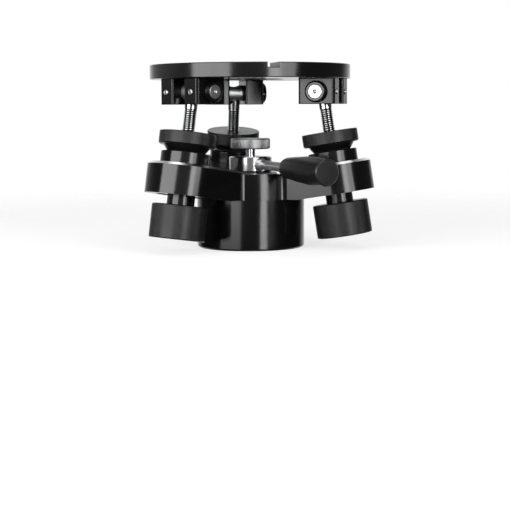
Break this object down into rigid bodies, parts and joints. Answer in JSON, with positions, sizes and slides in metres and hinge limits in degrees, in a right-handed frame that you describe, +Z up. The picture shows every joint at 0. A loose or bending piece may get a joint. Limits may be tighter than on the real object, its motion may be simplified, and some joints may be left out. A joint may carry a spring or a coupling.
{
  "type": "three-way levelling head",
  "caption": "Levelling head: keyed round top plate on leaning screw legs with knurled levelling nuts and lock knobs, arm spider, round base and lever clamp.",
  "frame": {"origin": "centre of the tie-down bore in the underside of the round base", "axes": "+Z up along the head's axis, -Y towards the keyway, +X to the right leg's side"},
  "size_m": [0.2012, 0.2338, 0.16],
  "materials": {
    "black_anodised": "satin black anodised",
    "knurled_black": "fine straight knurl, black anodised",
    "bright_steel": "turned and polished",
    "knurled_bright": "fine straight knurl, nickel plated",
    "bronze": "turned bearing bronze",
    "liner_plastic": "low-friction bearing plastic",
    "grip_plastic": "black moulded plastic",
    "black_steel": "black oxide"
  },
  "bodies": {
    "base": {"base_cylinder": "black_anodised", "spider": "black_anodised", "base_screws": "black_steel", "thrust_washer": "bronze", "cup_left": "black_anodised", "cup_right": "black_anodised", "cup_back": "black_anodised", "seat_liner_left": "liner_plastic", "lower_bush_left": "bronze", "lower_bush_right": "bronze", "lower_bush_back": "bronze"},
    "lever": {"clamp_hub": "bright_steel", "lever_rod": "bright_steel", "lever_grip": "grip_plastic"},
    "lock_wheel": {"lock_screw": "bright_steel", "lock_wheel": "knurled_bright"},
    "seat_right": {"seat_liner_right": "liner_plastic"},
    "seat_back": {"seat_liner_back": "liner_plastic"},
    "table": {"top_plate": "black_anodised", "ears_left": "black_anodised", "ears_right": "black_anodised", "ears_back": "black_anodised", "ear_screws": "black_steel", "grub_screws": "bright_steel", "pivot_pin_left": "bright_steel", "pivot_pin_right": "bright_steel", "pivot_pin_back": "bright_steel", "pin_collars_left": "black_anodised", "pin_collars_right": "black_anodised", "pin_collars_back": "black_anodised"},
    "leg_left": {"trunnion_left": "bright_steel", "rod_left": "bright_steel"},
    "washers_left": {"ball_washer_left": "black_anodised", "lock_collar_left": "black_anodised"},
    "nut_left": {"level_nut_left": "knurled_black"},
    "knob_left": {"lock_knob_left": "knurled_black"},
    "leg_right": {"trunnion_right": "bright_steel", "rod_right": "bright_steel"},
    "washers_right": {"ball_washer_right": "black_anodised", "lock_collar_right": "black_anodised"},
    "nut_right": {"level_nut_right": "knurled_black"},
    "knob_right": {"lock_knob_right": "knurled_black"},
    "leg_back": {"trunnion_back": "bright_steel", "rod_back": "bright_steel"},
    "washers_back": {"ball_washer_back": "black_anodised", "lock_collar_back": "black_anodised"},
    "nut_back": {"level_nut_back": "knurled_black"},
    "knob_back": {"lock_knob_back": "knurled_black"}
  },
  "joints": [
    {"name": "lever_swing", "type": "hinge", "parent": "base", "child": "lever", "pos_m": [0, 0, 0.0671], "axis": [0, 0, 1], "range_deg": [-34, 0]},
    {"name": "lock_wheel_turn", "type": "hinge", "parent": "lever", "child": "lock_wheel", "pos_m": [0, 0, 0.0865], "axis": [0, 0, 1], "continuous": true},
    {"name": "tilt_left", "type": "hinge", "parent": "base", "child": "seat_right", "pos_m": [0.03118, 0.018, 0.09998], "axis": [-0.5, 0.866, 0], "range_deg": [-2.1, 2.1]},
    {"name": "tilt_right", "type": "hinge", "parent": "seat_right", "child": "seat_back", "pos_m": [-0.03118, 0.018, 0.09998], "axis": [-0.5, -0.866, 0], "range_deg": [-2.1, 2.1]},
    {"name": "tilt_back", "type": "hinge", "parent": "seat_back", "child": "table", "pos_m": [0, -0.036, 0.09998], "axis": [1, 0, 0], "range_deg": [-2.1, 2.1]},
    {"name": "swing_left", "type": "hinge", "parent": "table", "child": "leg_left", "pos_m": [-0.05742, -0.03315, 0.13604], "axis": [-0.5, 0.866, 0], "range_deg": [-1.1, 1.1]},
    {"name": "rise_left", "type": "slide", "parent": "leg_left", "child": "washers_left", "axis": [-0.1355, -0.0782, -0.9877], "range_m": [-0.00374, 0.00374]},
    {"name": "nut_turn_left", "type": "hinge", "parent": "washers_left", "child": "nut_left", "pos_m": [-0.06236, -0.036, 0.09998], "axis": [-0.1355, -0.0782, -0.9877], "range_deg": [-750, 750]},
    {"name": "knob_turn_left", "type": "hinge", "parent": "washers_left", "child": "knob_left", "pos_m": [-0.06236, -0.036, 0.09998], "axis": [-0.1355, -0.0782, -0.9877], "range_deg": [-750, 750]},
    {"name": "swing_right", "type": "hinge", "parent": "table", "child": "leg_right", "pos_m": [0.05742, -0.03315, 0.13604], "axis": [-0.5, -0.866, 0], "range_deg": [-1.1, 1.1]},
    {"name": "rise_right", "type": "slide", "parent": "leg_right", "child": "washers_right", "axis": [0.1355, -0.0782, -0.9877], "range_m": [-0.00374, 0.00374]},
    {"name": "nut_turn_right", "type": "hinge", "parent": "washers_right", "child": "nut_right", "pos_m": [0.06236, -0.036, 0.09998], "axis": [0.1355, -0.0782, -0.9877], "range_deg": [-750, 750]},
    {"name": "knob_turn_right", "type": "hinge", "parent": "washers_right", "child": "knob_right", "pos_m": [0.06236, -0.036, 0.09998], "axis": [0.1355, -0.0782, -0.9877], "range_deg": [-750, 750]},
    {"name": "swing_back", "type": "hinge", "parent": "table", "child": "leg_back", "pos_m": [0, 0.0663, 0.13604], "axis": [1, 0, 0], "range_deg": [-1.1, 1.1]},
    {"name": "rise_back", "type": "slide", "parent": "leg_back", "child": "washers_back", "axis": [0, 0.1564, -0.9877], "range_m": [-0.00374, 0.00374]},
    {"name": "nut_turn_back", "type": "hinge", "parent": "washers_back", "child": "nut_back", "pos_m": [0, 0.07201, 0.09998], "axis": [0, 0.1564, -0.9877], "range_deg": [-750, 750]},
    {"name": "knob_turn_back", "type": "hinge", "parent": "washers_back", "child": "knob_back", "pos_m": [0, 0.07201, 0.09998], "axis": [0, 0.1564, -0.9877], "range_deg": [-750, 750]}
  ],
  "couplings": [
    {"joint": "tilt_left", "follows": "rise_left", "rad_per_m": 9.3734},
    {"joint": "swing_left", "follows": "rise_left", "rad_per_m": -4.36},
    {"joint": "nut_turn_left", "follows": "rise_left", "rad_per_m": 3490.7},
    {"joint": "knob_turn_left", "follows": "rise_left", "rad_per_m": 3490.7},
    {"joint": "tilt_right", "follows": "rise_right", "rad_per_m": 9.3734},
    {"joint": "swing_right", "follows": "rise_right", "rad_per_m": -4.36},
    {"joint": "nut_turn_right", "follows": "rise_right", "rad_per_m": 3490.7},
    {"joint": "knob_turn_right", "follows": "rise_right", "rad_per_m": 3490.7},
    {"joint": "tilt_back", "follows": "rise_back", "rad_per_m": 9.3734},
    {"joint": "swing_back", "follows": "rise_back", "rad_per_m": -4.36},
    {"joint": "nut_turn_back", "follows": "rise_back", "rad_per_m": 3490.7},
    {"joint": "knob_turn_back", "follows": "rise_back", "rad_per_m": 3490.7}
  ]
}
